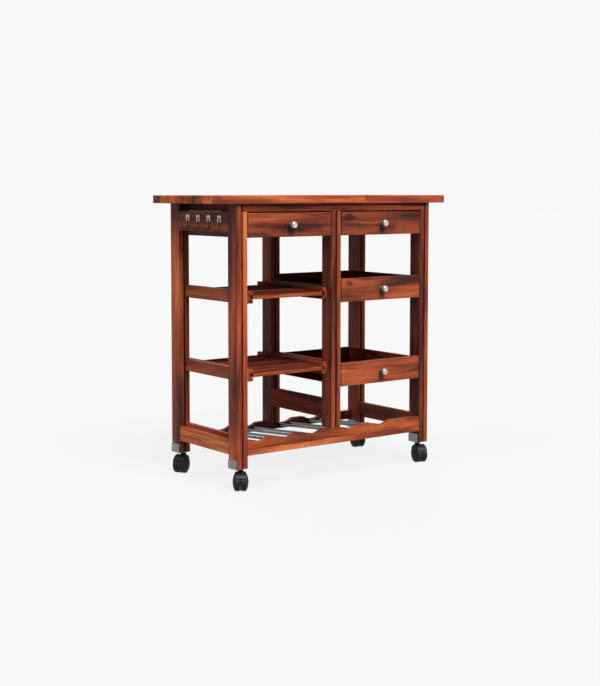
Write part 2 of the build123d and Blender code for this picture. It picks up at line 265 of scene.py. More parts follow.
def new_material(name):
    """An empty node material, with its tree, shader and object coordinates."""
    material = bpy.data.materials.new(name)
    material.use_nodes = True
    tree = material.node_tree
    tree.nodes.clear()
    shader = add(tree, "BsdfPrincipled")
    output = add(tree, "OutputMaterial")
    tree.links.new(shader.outputs[0], output.inputs[0])
    return material, tree, shader, add(tree, "TexCoord").outputs["Object"]


# ---- Hardwood ----

GRAIN_TURNS = {"X": (0.0, 0.0, 0.0), "Y": (0.0, 0.0, -math.pi / 2), "Z": (0.0, math.pi / 2, 0.0)}


def figure_group():
    """The hardwood's figure, as a node group that every board shares.

    The grain runs along the place's X. The place first wanders sideways with a slow noise.
    Growth rings are the sine of the distance from a line outside the board, pushed about by
    the flames, and streaks and pores are noises drawn out along the grain.
    """
    name = "cart_wood_figure"
    if name in bpy.data.node_groups:
        return bpy.data.node_groups[name]
    wood = bpy.context.scene.cart_wood
    tree = bpy.data.node_groups.new(name, "ShaderNodeTree")
    for socket, kind in (("Place", "NodeSocketVector"), ("Tone", "NodeSocketFloat"),
                         ("Blot", "NodeSocketFloat")):
        tree.interface.new_socket(socket, in_out="INPUT", socket_type=kind)
    for socket, kind in (("Color", "NodeSocketColor"), ("Roughness", "NodeSocketFloat"),
                         ("Height", "NodeSocketFloat")):
        tree.interface.new_socket(socket, in_out="OUTPUT", socket_type=kind)
    given = tree.nodes.new("NodeGroupInput").outputs
    result = tree.nodes.new("NodeGroupOutput").inputs

    drift = noise(tree, given["Place"], (4.0, 12.0, 12.0), detail=2.0).outputs["Color"]
    drift = vector_maths(tree, "SUBTRACT", drift, (0.5, 0.5, 0.5))
    drift = vector_maths(tree, "MULTIPLY", drift, (0.0, 0.034, 0.034))
    place = vector_maths(tree, "ADD", given["Place"], drift)

    slow = noise(tree, given["Place"], (1.7, 11.0, 11.0), detail=1.5)
    flame = noise(tree, place, (2.6, 38.0, 38.0), detail=3.5, distortion=0.35).outputs["Fac"]
    streak = noise(tree, place, (7.0, 300.0, 300.0), detail=4.0, roughness=0.66).outputs["Fac"]
    vein = noise(tree, place, (2.6, 50.0, 50.0), detail=4.0, roughness=0.58,
                 distortion=0.3).outputs["Fac"]
    pore = noise(tree, place, (95.0, 1500.0, 1500.0), detail=1.0).outputs["Fac"]
    pore = remap(tree, pore, 0.60, 0.72)

    pith = vector_maths(tree, "ADD", place, (0.0, 0.041, 0.063))
    pith = vector_maths(tree, "MULTIPLY", pith, (0.0, 1.0, 1.0))
    distance = add(tree, "VectorMath", (0, pith), operation="LENGTH").outputs["Value"]
    phase = maths(tree, "MULTIPLY_ADD", distance, 760.0, maths(tree, "MULTIPLY", flame, 11.0))
    ring = maths(tree, "MULTIPLY_ADD", maths(tree, "SINE", phase), 0.5, 0.5)

    shade = maths(tree, "MULTIPLY_ADD", slow.outputs["Fac"], 1.35, -0.675)
    shade = maths(tree, "MULTIPLY_ADD", maths(tree, "SUBTRACT", flame, 0.5), 1.55, shade)
    shade = maths(tree, "MULTIPLY_ADD", maths(tree, "SUBTRACT", ring, 0.5), 0.070, shade)
    shade = maths(tree, "MULTIPLY_ADD", maths(tree, "SUBTRACT", streak, 0.5), 0.62, shade)
    edge = maths(tree, "MULTIPLY_ADD", streak, 0.25, vein)
    shade = maths(tree, "MULTIPLY_ADD", remap(tree, edge, 0.690, 0.760), -0.24, shade)
    shade = maths(tree, "ADD", maths(tree, "ADD", shade, 0.50), given["Tone"])
    shade = maths(tree, "SUBTRACT", shade, given["Blot"], clamp=True)
    tint = ramp(tree, shade, ((0.0, wood.deep), (0.20, wood.dark), (0.50, wood.middle),
                              (0.78, wood.light), (1.0, wood.gold)))
    purple = add(tree, "SeparateColor", (0, slow.outputs["Color"])).outputs[1]
    purple = remap(tree, purple, 0.45, 0.62)
    tint = mix(tree, maths(tree, "MULTIPLY", purple, 0.22), tint, (0.50, 0.20, 0.36), "SOFT_LIGHT")
    tint = mix(tree, maths(tree, "MULTIPLY", pore, 0.28), tint, (0.040, 0.012, 0.008))

    tree.links.new(tint, result["Color"])
    rough = maths(tree, "MULTIPLY_ADD", streak, 0.20, 0.36)
    tree.links.new(maths(tree, "MULTIPLY_ADD", pore, 0.16, rough), result["Roughness"])
    height = maths(tree, "MULTIPLY_ADD", ring, 0.20, maths(tree, "MULTIPLY", streak, 0.45))
    tree.links.new(maths(tree, "MULTIPLY_ADD", pore, -0.55, height), result["Height"])
    return tree


def finish_wood(tree, shader, figure, share=1.0):
    """Puts a figure on a shader, with pale rounded edges (partly wear, partly a painted edge
    highlight), pores in the surface and a share of the full satin lacquer."""
    wood = bpy.context.scene.cart_wood
    soft = add(tree, "Bevel", ("Radius", wood.edge), samples=4).outputs[0]
    flat = add(tree, "NewGeometry").outputs["Normal"]
    along = add(tree, "VectorMath", (0, soft), (1, flat), operation="DOT_PRODUCT").outputs["Value"]
    # Edges are paled towards the light colour: partly wear, partly a painted highlight on the edges.
    worn = remap(tree, along, 0.995, 0.80)
    worn = maths(tree, "MULTIPLY", worn, 0.22)
    paled = mix(tree, 0.55, figure.outputs["Color"], wood.light)
    tint = mix(tree, worn, figure.outputs["Color"], paled)
    bump = add(tree, "Bump", ("Strength", 0.35), ("Distance", 0.0004),
               ("Height", figure.outputs["Height"]), ("Normal", soft))
    tree.links.new(tint, shader.inputs["Base Color"])
    tree.links.new(figure.outputs["Roughness"], shader.inputs["Roughness"])
    tree.links.new(bump.outputs[0], shader.inputs["Normal"])
    shader.inputs["Coat Weight"].default_value = wood.lacquer * share
    shader.inputs["Coat Roughness"].default_value = wood.lacquer_roughness
    shader.inputs["Specular IOR Level"].default_value = 0.15 * share


def blot_at(tree, place, centre, reach):
    """A soft blot: one at its centre, zero where it ends, drawn out by its three reaches."""
    wander = noise(tree, place, (38.0, 38.0, 38.0), detail=2.0).outputs["Color"]
    wander = vector_maths(tree, "MULTIPLY", vector_maths(tree, "SUBTRACT", wander, (0.5, 0.5, 0.5)),
                          (0.030, 0.030, 0.018))
    away = vector_maths(tree, "SUBTRACT", vector_maths(tree, "ADD", place, wander), tuple(centre))
    away = vector_maths(tree, "DIVIDE", away, tuple(reach))
    distance = add(tree, "VectorMath", (0, away), operation="LENGTH").outputs["Value"]
    return remap(tree, distance, 1.0, 0.25)


def wood(name, grain, seed, tone=0.0, blots=(), share=1.0, crossing=None, painted_top_shade=0.0):
    """A board's wood: grain along an axis, its own part of the figure, and a lighter or
    darker tone. Each blot is (centre, reach along X, Y and Z, strength); a negative
    strength pales the wood. The share is that of the lacquer. Past the crossing, a place
    along Y, the grain runs along X. The painted top shade, added to the tone on faces
    that look up, is painted shade on the tops."""
    material, tree, shader, place = new_material(name)
    turned = add(tree, "Mapping", ("Vector", place), ("Rotation", GRAIN_TURNS[grain]),
                 ("Location", (seed * 0.731, seed * 0.377, seed * 0.593))).outputs[0]
    if crossing is not None:
        depth = add(tree, "SeparateXYZ", (0, place)).outputs[1]
        beyond = maths(tree, "GREATER_THAN", depth, crossing)
        other = vector_maths(tree, "ADD", place, (seed * 0.377, seed * 0.593, seed * 0.731))
        turned = add(tree, "Mix", (0, beyond), (4, turned), (5, other),
                     data_type="VECTOR").outputs[1]
    figure = add(tree, "Group", node_tree=figure_group())
    tree.links.new(turned, figure.inputs["Place"])
    figure.inputs["Tone"].default_value = tone
    # Painted shade: faces that look up get the painted top shade added to their tone, which darkens the
    # tops.
    if painted_top_shade:
        normal = add(tree, "NewGeometry").outputs["Normal"]
        upward = add(tree, "SeparateXYZ", (0, normal)).outputs[2]
        above = maths(tree, "GREATER_THAN", upward, 0.5)
        tree.links.new(maths(tree, "MULTIPLY_ADD", above, painted_top_shade, tone), figure.inputs["Tone"])
    total = None
    for centre, reach, strength in blots:
        spot = maths(tree, "MULTIPLY", blot_at(tree, place, centre, reach), strength)
        total = spot if total is None else maths(tree, "ADD", total, spot)
    if total is not None:
        tree.links.new(total, figure.inputs["Blot"])
    finish_wood(tree, shader, figure, share)
    return material


def staved_wood(name, staves):
    """Wood glued up from staves that run along X. Each stave is (back edge's Y, tone, seed)
    from the front; staves are also finger-jointed from shorter lengths along X."""
    material, tree, shader, place = new_material(name)
    low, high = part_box("table_top")
    axes = add(tree, "SeparateXYZ", (0, place)).outputs
    across = maths(tree, "DIVIDE", maths(tree, "SUBTRACT", axes[1], low[1]), high[1] - low[1])
    starts = [0.0] + [(edge - low[1]) / (high[1] - low[1]) for edge, tone, seed in staves[:-1]]
    stops = [(start, (0.5 + tone, seed, 0.0)) for start, (edge, tone, seed) in zip(starts, staves)]
    stave = add(tree, "SeparateColor", (0, ramp(tree, across, stops, "CONSTANT"))).outputs
    piece = maths(tree, "MULTIPLY_ADD", axes[0], 3.1, maths(tree, "MULTIPLY", stave[1], 7.0))
    piece = maths(tree, "FLOOR", piece)
    key = add(tree, "CombineXYZ", (0, piece), (1, stave[1])).outputs[0]
    own = add(tree, "TexWhiteNoise", ("Vector", key), noise_dimensions="3D")
    shifted = vector_maths(tree, "MULTIPLY_ADD", own.outputs["Color"], (1.0, 2.3, 1.7), place)
    figure = add(tree, "Group", node_tree=figure_group())
    tree.links.new(shifted, figure.inputs["Place"])
    tone = maths(tree, "SUBTRACT", stave[0], 0.58)
    tone = maths(tree, "MULTIPLY_ADD", own.outputs["Value"], 0.16, tone)
    tree.links.new(tone, figure.inputs["Tone"])
    seam = None
    for edge, _, _ in staves[:-1]:
        near = maths(tree, "ABSOLUTE", maths(tree, "SUBTRACT", axes[1], edge))
        line = remap(tree, near, 0.0007, 0.0002)
        seam = line if seam is None else maths(tree, "MAXIMUM", seam, line)
    tree.links.new(maths(tree, "MULTIPLY", seam, 0.28), figure.inputs["Blot"])
    finish_wood(tree, shader, figure)
    return material


# ---- Metal and plastic ----

def metal(name, tint, roughness, stretch, spread=0.10, grain=0.00004):
    """Metal with fine scratches: noise drawn out along the axes with few features."""
    material, tree, shader, place = new_material(name)
    fine = noise(tree, place, stretch, detail=3.0, roughness=0.6).outputs["Fac"]
    cloud = noise(tree, place, (60.0, 60.0, 60.0), detail=3.0).outputs["Fac"]
    shade = mix(tree, remap(tree, cloud, 0.35, 0.70), scaled(tint, 0.80), tint)
    tree.links.new(shade, shader.inputs["Base Color"])
    rough = maths(tree, "MULTIPLY_ADD", fine, spread, roughness)
    tree.links.new(maths(tree, "MULTIPLY_ADD", cloud, spread, rough), shader.inputs["Roughness"])
    emboss(tree, shader, 0.5, grain, fine)
    shader.inputs["Metallic"].default_value = 1.0
    return material


def paint_wire_shade(material, share):
    """Darkens a metal where the piece's run is above zero: painted shade that makes the wires darker
    than the plates.
    """
    tree = material.node_tree
    shader = next(node for node in tree.nodes if node.bl_idname == "ShaderNodeBsdfPrincipled")
    colour_link = shader.inputs["Base Color"].links[0].from_socket
    run = add(tree, "Attribute", attribute_name="run").outputs["Fac"]
    dim = mix(tree, 1.0, colour_link, (share, share, share), "MULTIPLY")
    tint = mix(tree, remap(tree, run, 0.0, 0.001), colour_link, dim)
    tree.links.new(tint, shader.inputs["Base Color"])


def turned_metal(name, tint, roughness, painted_dark_bands=()):
    """Metal finished on a lathe: fine rings that follow the piece's own profile length. Each
    painted dark band is (start, end, how dark) along that length: painted shade and
    painted dark reflection that darken the colour there."""
    material, tree, shader, place = new_material(name)
    run = add(tree, "Attribute", attribute_name="run").outputs["Fac"]
    rings = add(tree, "TexNoise", ("W", maths(tree, "MULTIPLY", run, 2600.0)), ("Scale", 1.0),
                ("Detail", 2.0), noise_dimensions="1D").outputs["Fac"]
    cloud = noise(tree, place, (90.0, 90.0, 90.0), detail=3.0).outputs["Fac"]
    shade = mix(tree, remap(tree, rings, 0.3, 0.7), scaled(tint, 0.82), tint)
    fade = 0.0004
    # Each band darkens the colour as painted shade and painted dark reflection.
    for start, end, depth in painted_dark_bands:
        band = maths(tree, "MULTIPLY", remap(tree, run, start - fade, start + fade),
                     remap(tree, run, end + fade, end - fade))
        shade = mix(tree, maths(tree, "MULTIPLY", band, depth), shade, scaled(tint, 0.06))
    tree.links.new(shade, shader.inputs["Base Color"])
    rough = maths(tree, "MULTIPLY_ADD", cloud, 0.12, roughness)
    tree.links.new(maths(tree, "MULTIPLY_ADD", rings, 0.12, rough), shader.inputs["Roughness"])
    emboss(tree, shader, 0.6, 0.00004, rings)
    shader.inputs["Metallic"].default_value = 1.0
    return material


def moulded(name, tint, roughness):
    """Moulded nylon: a fine spark-eroded texture, slight scuffs and a little dust."""
    material, tree, shader, place = new_material(name)
    fine = noise(tree, place, (1500.0, 1500.0, 1500.0), detail=2.0).outputs["Fac"]
    scuff = noise(tree, place, (70.0, 70.0, 260.0), detail=4.0, roughness=0.65).outputs["Fac"]
    worn = remap(tree, scuff, 0.50, 0.72)
    shade = mix(tree, maths(tree, "MULTIPLY", worn, 0.5), tint, scaled(tint, 2.2))
    tree.links.new(shade, shader.inputs["Base Color"])
    rough = maths(tree, "MULTIPLY_ADD", worn, 0.16, roughness)
    tree.links.new(maths(tree, "MULTIPLY_ADD", fine, 0.08, rough), shader.inputs["Roughness"])
    emboss(tree, shader, 0.4, 0.00006, fine)
    shader.inputs["Specular IOR Level"].default_value = 0.30
    return material


# ---- Surfaces ----

def unit(vector):
    """A vector of length one."""
    return np.asarray(vector, float) / np.linalg.norm(vector)


def full_turn(count):
    """Angles evenly round a circle."""
    return np.linspace(0.0, 2 * np.pi, count, endpoint=False)


def lengths_along(points):
    """The distance along a line of points from its first one."""
    return np.concatenate([[0.0], np.cumsum(np.linalg.norm(np.diff(points, axis=0), axis=1))])


def signed_power(values, exponent):
    """sign(v)*|v|^e, which turns a circle into a superellipse."""
    return np.sign(values) * np.abs(values) ** exponent


def grid_faces(rows, columns):
    """Quads of a grid of points, row after row, wrapped round its columns."""
    row = np.arange(rows - 1)[:, None] * columns
    column = np.arange(columns)[None, :]
    after = (column + 1) % columns
    return np.stack([row + column, row + after, row + columns + after, row + columns + column],
                    axis=-1).reshape(-1, 4)


def outward(points, faces):
    """The faces of a closed shell, turned round if its volume comes out negative.

    The volume is a sixth of the sum of each triangle's triple product."""
    corners = points[faces]
    volume = sum(np.einsum("ij,ij->i", corners[:, 0], np.cross(corners[:, a], corners[:, a + 1])).sum()
                 for a in range(1, faces.shape[1] - 1))
    return faces if volume > 0 else faces[:, ::-1]


def capped(rings, run=None):
    """A closed shell from rings of points: side quads, and a fan to a middle point at each end."""
    rows, columns = rings.shape[:2]
    points = np.vstack([rings.reshape(-1, 3), rings[0].mean(axis=0), rings[-1].mean(axis=0)])
    around = np.arange(columns)
    after = (around + 1) % columns
    last = (rows - 1) * columns
    first_pole = np.full(columns, rows * columns)
    start = np.stack([first_pole, after, around, around], axis=-1)
    end = np.stack([first_pole + 1, last + around, last + after, last + after], axis=-1)
    faces = np.vstack([grid_faces(rows, columns), start, end])
    steps = np.zeros(rows) if run is None else run
    runs = np.concatenate([np.repeat(steps, columns), [steps[0], steps[-1]]])
    return points, outward(points, faces), runs


def rounded(corners, share=0.35, steps=5):
    """A profile with its inner corners rounded: each becomes a parabola
    (1-s)(1-s)A + 2s(1-s)C + ssB between points A and B a share of the way to its neighbours."""
    corners = np.asarray(corners, float)
    middle = corners[1:-1]
    before = middle + (corners[:-2] - middle) * share
    beyond = middle + (corners[2:] - middle) * share
    s = np.linspace(0.0, 1.0, steps)[None, :, None]
    curve = (1 - s) ** 2 * before[:, None] + 2 * s * (1 - s) * middle[:, None] + s**2 * beyond[:, None]
    return np.vstack([corners[:1], curve.reshape(-1, 2), corners[-1:]])


def lathe(profile, centre, axis, facets=64):
    """A profile of (distance along the axis, radius) turned round the axis:
    centre + axis*distance + radius*(side*cos t + other*sin t)."""
    axis = unit(axis)
    side = unit(np.cross(axis, (0.3, 0.5, 0.8)))
    other = np.cross(axis, side)
    turn = full_turn(facets)
    ring = np.cos(turn)[:, None] * side + np.sin(turn)[:, None] * other
    profile = np.asarray(profile, float)
    along, radius = profile[:, 0, None, None], profile[:, 1, None, None]
    rings = np.asarray(centre, float) + along * axis + radius * ring
    return capped(rings, lengths_along(profile))


def tube(path, radii, across, sides=16):
    """A tube round a flat path: point + radius*(normal*cos t + across*sin t), where across is
    square to the path's plane and the normal is square to both."""
    path = np.asarray(path, float)
    along = np.gradient(path, axis=0)
    along /= np.linalg.norm(along, axis=1)[:, None]
    normal = np.cross(np.asarray(across, float), along)
    turn = full_turn(sides)
    ring = (np.cos(turn)[None, :, None] * normal[:, None]
            + np.sin(turn)[None, :, None] * np.asarray(across, float))
    rings = path[:, None] + np.asarray(radii, float)[:, None, None] * ring
    return capped(rings, lengths_along(path))


def block(centre, half, power=8.0, edge=0.4, points=48):
    """A plate with a superellipse outline |y/b|^p + |z/c|^p = 1 in the YZ plane and rounded
    rims: rings at rising X whose outline draws in by the rim's quarter circle."""
    turn = full_turn(points)
    y = signed_power(np.cos(turn), 2 / power)
    z = signed_power(np.sin(turn), 2 / power)
    rim = edge * half[0]
    bend = np.linspace(0.0, np.pi / 2, 5)
    inset = rim * (1 - np.sin(bend))
    x = -half[0] + rim * (1 - np.cos(bend))
    insets = np.concatenate([inset, inset[::-1]])
    stations = np.concatenate([x, -x[::-1]])
    rings = np.stack([np.broadcast_to(stations[:, None], (len(stations), points)),
                      (half[1] - insets)[:, None] * y, (half[2] - insets)[:, None] * z], axis=-1)
    return capped(rings + np.asarray(centre, float))


def make_piece(name, parts, material, body, nodes, crease=35.0):
    """One piece from closed shells, riding on a body and standing for the nodes given."""
    offsets = np.cumsum([0] + [len(points) for points, _, _ in parts])
    points = np.vstack([points for points, _, _ in parts])
    faces = []
    for offset, (_, quads, _) in zip(offsets, parts):
        whole = quads[quads[:, 2] != quads[:, 3]]
        folded = quads[quads[:, 2] == quads[:, 3]][:, :3]
        turned = quads[quads[:, 0] == quads[:, 1]][:, 1:]
        whole = whole[whole[:, 0] != whole[:, 1]]
        for group in (whole, folded, turned):
            faces += (group + offset).tolist()
    mesh = bpy.data.meshes.new(name)
    mesh.from_pydata(points.tolist(), [], faces)
    mesh.attributes.new("run", "FLOAT", "POINT").data.foreach_set(
        "value", np.concatenate([run for _, _, run in parts]).astype(np.float32))
    mesh.validate()
    mesh.shade_smooth()
    mesh.set_sharp_from_angle(angle=math.radians(crease))
    mesh.materials.append(material)
    piece = bpy.data.objects.new(name, mesh)
    bpy.context.scene.collection.objects.link(piece)
    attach(piece, body)
    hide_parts(*nodes)
    return piece


def paint(node, material):
    """Gives a frame node its finish."""
    slots = frame["nodes"][node].data.materials
    slots.clear()
    slots.append(material)


# ---- Operators ----

class CART_OT_finish_top(bpy.types.Operator):
    """Finish the glued-up table top"""
    bl_idname = "cart.finish_top"
    bl_label = "Table top"

    def execute(self, context):
        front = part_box("table_top")[0][1]
        staves = ((front + 0.109, 0.20, 0.10), (front + 0.158, -0.14, 0.32), (front + 0.203, 0.02, 0.55),
                  (front + 0.251, -0.20, 0.71), (front + 0.256, 0.22, 0.18), (front + 0.339, 0.17, 0.86),
                  (front + 0.380, -0.24, 0.44))
        paint("table_top", staved_wood("staved_top", staves))
        return {"FINISHED"}


class CART_OT_finish_frame(bpy.types.Operator):
    """Finish the legs, posts, rails and aprons"""
    bl_idname = "cart.finish_frame"
    bl_label = "Frame boards"

    def execute(self, context):
        shades = {"left_front_outer": 0.04, "left_front_inner": 0.10, "right_front_outer": -0.06,
                  "right_front_inner": -0.18, "left_back_outer": 0.02, "left_back_inner": -0.16,
                  "right_back_outer": -0.02, "right_back_inner": -0.12}
        flames = {"left_front_outer": ((0.27, 0.15, 0.32), (0.72, 0.11, 0.16), (0.52, 0.12, -0.15)),
                  "left_back_outer": ((0.66, 0.17, -0.26), (0.42, 0.11, 0.14), (0.26, 0.10, 0.08)),
                  "right_front_inner": ((0.45, 0.20, 0.08),),
                  "right_front_outer": ((0.52, 0.07, 0.20), (0.20, 0.20, 0.24), (0.68, 0.12, -0.10))}
        for seed, (board, tone) in enumerate(shades.items(), start=3):
            centre = middle_of(f"{board}_board")
            blots = [((*centre[:2], height), (0.12, 0.12, reach), strength)
                     for height, reach, strength in flames.get(board, ())]
            paint(f"{board}_board", wood(f"{board}_wood", "Z", seed, tone, blots))
        rails = {"outer_top_rail": -0.02, "outer_bottom_rail": 0.21, "mid_rails": 0.04,
                 "inner_rails": -0.10}
        upper_mid_rail = (middle_of("left_mid_rails")[0], 0.0, 0.57)
        darker = {"left_mid_rails": ((upper_mid_rail, (0.1, 0.6, 0.1), 0.20),)}
        for seed, (side, rail) in enumerate(((s, r) for s in SIDES for r in rails), start=21):
            node = f"{side}_{rail}"
            paint(node, wood(f"{node}_wood", "Y", seed, rails[rail], darker.get(node, ())))
        posts = {"middle_left_post_boards": -0.19, "middle_right_post_boards": 0.02,
                 "filler_strips": -0.55}
        for seed, (node, tone) in enumerate(posts.items(), start=41):
            paint(node, wood(f"{node}_wood", "Z", seed, tone))
        crossings = {"middle_upper_rails": -0.20, "middle_rails": -0.18, "cross_top_rails": -0.30,
                     "drawer_battens": -0.25, "shelf_spacers": -0.10, "shelf_1_runners": -0.15,
                     "shelf_2_runners": -0.12}
        for seed, (node, tone) in enumerate(crossings.items(), start=51):
            # The inner rails, battens, spacers and runners get a little painted shade on their up-facing
            # tops.
            paint(node, wood(f"{node}_wood", "Y", seed, tone, share=0.3, painted_top_shade=-0.10))
        lengthwise = {"front_top_rail": -0.14, "back_top_rail": -0.25, "front_bottom_rail": 0.12,
                      "front_rack_bar": -0.22, "back_rack_bar": -0.14}
        for seed, (node, tone) in enumerate(lengthwise.items(), start=61):
            paint(node, wood(f"{node}_wood", "X", seed, tone, share=0.5))
        return {"FINISHED"}


class CART_OT_finish_shelves(bpy.types.Operator):
    """Finish the two pull-out shelves"""
    bl_idname = "cart.finish_shelves"
    bl_label = "Shelves"

    def execute(self, context):
        for seed, node in enumerate(("shelf_1", "shelf_2"), start=71):
            # The shelves' up-facing tops get strong painted shade; their fronts keep the lighter tone.
            paint(node, wood(f"{node}_wood", "X", seed, 0.12, share=0.0, painted_top_shade=-0.48))
        return {"FINISHED"}


class CART_OT_finish_drawers(bpy.types.Operator):
    """Finish the drawer fronts and boxes"""
    bl_idname = "cart.finish_drawers"
    bl_label = "Drawers"

    def execute(self, context):
        back_panel = 0.0131
        tones = {"left_top": -0.02, "right_top": -0.05, "right_middle": 0.00, "right_lower": 0.10}
        for seed, drawer in enumerate(DRAWERS, start=81):
            node = f"{drawer}_drawer_front"
            centre = middle_of(node)
            size = size_of(node)
            if drawer.startswith("right"):
                flame = 0.25 if drawer == "right_lower" else 1.0
                blots = ((centre + size * (-0.40, 0.0, 0.28), size * (0.07, 3.0, 0.20), 0.40 * flame),
                         (centre + size * (0.30, 0.0, 0.34), size * (0.46, 3.0, 0.40), 0.30 * flame),
                         (centre + size * (0.10, 0.0, 0.02), size * (0.16, 3.0, 0.20), 0.14 * flame),
                         (centre + size * (-0.24, 0.0, -0.14), size * (0.30, 3.0, 0.60), -0.10))
            else:
                blots = ((centre + size * (0.14, 0.0, -0.08), size * (0.62, 3.0, 0.26), 0.26),
                         (centre + size * (-0.36, 0.0, 0.06), size * (0.14, 3.0, 0.24), 0.12),
                         (centre + size * (0.00, 0.0, -0.44), size * (0.90, 3.0, 0.17), -0.16),
                         (centre + size * (-0.10, 0.0, 0.34), size * (0.60, 3.0, 0.22), -0.10))
            paint(node, wood(f"{node}_wood", "X", seed, tones[drawer], blots))
            box = f"{drawer}_drawer_box"
            paint(box, wood(f"{drawer}_box_wood", "Y", seed + 10, -0.30, share=0.0,
                            crossing=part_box(box)[1][1] - back_panel))
        return {"FINISHED"}


class CART_OT_add_knobs(bpy.types.Operator):
    """Add the turned knobs of the drawers"""
    bl_idname = "cart.add_knobs"
    bl_label = "Knobs"

    def execute(self, context):
        knob = context.scene.cart_knob
        r, reach, neck = knob.radius, knob.reach, knob.neck
        depth, thread, foot_radius = 0.0150, 0.0023, 0.0080
        outline = rounded([
            (-depth, 0.0), (-depth, thread), (0.0, thread), (0.0, foot_radius), (0.0022, foot_radius),
            (0.0040, neck + 0.0008), (reach * 0.36, neck), (reach * 0.52, r - 0.0022),
            (reach * 0.62, r), (reach * 0.76, r), (reach * 0.975, r * 0.74), (reach, r * 0.69),
            (reach, r * 0.52), (reach - 0.0005, r * 0.49), (reach - 0.0005, r * 0.45),
            (reach, r * 0.42), (reach, 0.0)], share=0.42)
        face_rim = lengths_along(outline)[np.argmax(outline[:, 0] > reach * 0.985)]
        # The knob's neck and foot, the bevel round its face and the groove on its face are darkened as
        # painted shade and painted dark reflection.
        nickel = turned_metal("brushed_nickel", context.scene.cart_metal.nickel, 0.34,
                              ((-0.001, face_rim - 0.0046, 0.94), (face_rim - 0.0046, face_rim, 0.72),
                               (face_rim + 0.0026, face_rim + 0.0038, 0.30)))
        for drawer in DRAWERS:
            node = f"{drawer}_knob"
            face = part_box(f"{drawer}_drawer_front")[0][1]
            foot = (middle_of(node)[0], face, middle_of(node)[2])
            make_piece(f"{drawer}_turned_knob", [lathe(outline, foot, (0, -1, 0), 64)], nickel,
                       f"{drawer}_drawer", [node])
        return {"FINISHED"}


class CART_OT_add_hooks(bpy.types.Operator):
    """Add the wire hooks on the end rail and their screws"""
    bl_idname = "cart.add_hooks"
    bl_label = "Hooks"

    def execute(self, context):
        hook = context.scene.cart_hook
        tints = context.scene.cart_metal
        plated = metal("plated_hook", tints.plate, 0.26, (500.0, 500.0, 60.0))
        # The wires below the plates get painted shade.
        paint_wire_shade(plated, 0.16)
        low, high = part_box("hooks")
        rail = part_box("left_outer_top_rail")[0][0]
        count, half_width, half_height = 4, 0.009, 0.010
        first, last = low[1] + half_width, high[1] - half_width
        plate_z = high[2] - half_height
        wire_x = rail - hook.plate - 0.9 * hook.wire
        straight, tip_length, screw_offset = 0.024, 0.0125, 0.006
        bend_z = plate_z - straight
        turn = np.linspace(0.0, np.pi, 25)
        bend = np.stack([wire_x - hook.bend * (1 - np.cos(turn)), np.zeros_like(turn),
                         bend_z - hook.bend * np.sin(turn)], axis=-1)
        stem = np.linspace((wire_x, 0.0, plate_z + 0.004), (wire_x, 0.0, bend_z), 9)[:-1]
        tip_x = wire_x - 2 * hook.bend
        tip = np.linspace((tip_x, 0.0, bend_z), (tip_x, 0.0, bend_z + tip_length), 8)[1:]
        path = np.vstack([stem, bend, tip])
        radii = np.full(len(path), hook.wire)
        radii[:3] = hook.wire * np.array([0.25, 0.8, 0.98])
        radii[-4:] = hook.wire * np.array([1.12, 1.28, 1.12, 0.45])
        parts, screws = [], []
        for y in np.linspace(first, last, count):
            parts.append(block((rail - hook.plate / 2, y, plate_z),
                               (hook.plate / 2, half_width, half_height)))
            parts.append(tube(path + (0.0, y, 0.0), radii, (0.0, 1.0, 0.0)))
            for offset in (-screw_offset, screw_offset):
                screws += screw_parts((rail - hook.plate, y + offset, plate_z), (-1, 0, 0),
                                      SCREW_DEPTH + hook.plate)
        make_piece("wire_hooks", parts, plated, "root", ["hooks"])
        make_piece("hook_screw_heads", screws, screw_steel(tints), "root",
                   ["hook_screws"])
        return {"FINISHED"}


def screw_steel(tints):
    """The plated steel that all the screws share."""
    made = bpy.data.materials.get("screw_plate")
    return made or metal("screw_plate", tints.plate, 0.30, (300.0, 300.0, 300.0))


def screw_parts(place, outwards, depth):
    """A slotted round head on its shank. The head's height is h*(1 - (r/R)^2.6), and the slot
    cuts it down where the distance from the slot's line is small."""
    place, outwards = np.asarray(place, float), unit(outwards)
    head, height, shank = 0.0032, 0.0013, 0.0018
    side = unit(np.cross(outwards, (0.21, 0.87, 0.45)))
    other = np.cross(outwards, side)
    turn = full_turn(28)
    radius = head * np.linspace(1.0, 0.04, 12)
    across = radius[:, None] * np.cos(turn)
    along = radius[:, None] * np.sin(turn)
    rise = height * (1 - (radius / head) ** 2.6)[:, None] + 0.0001
    slot = np.clip(1.6 - np.abs(across) / 0.00045, 0.0, 1.0) * (np.abs(along) < head * 0.86)
    rise = rise - 0.0006 * slot * (radius < head * 0.9)[:, None]
    rings = (place + across[..., None] * side + along[..., None] * other + rise[..., None] * outwards)
    rim = (place + head * (np.cos(turn)[:, None] * side + np.sin(turn)[:, None] * other))[None]
    cap = capped(np.concatenate([rim, rings]))
    stem = lathe([(-depth, 0.0), (-depth, 0.0004), (-depth + 0.002, shank), (0.0, shank), (0.0, 0.0)],
                 place, outwards, 16)
    return [cap, stem]


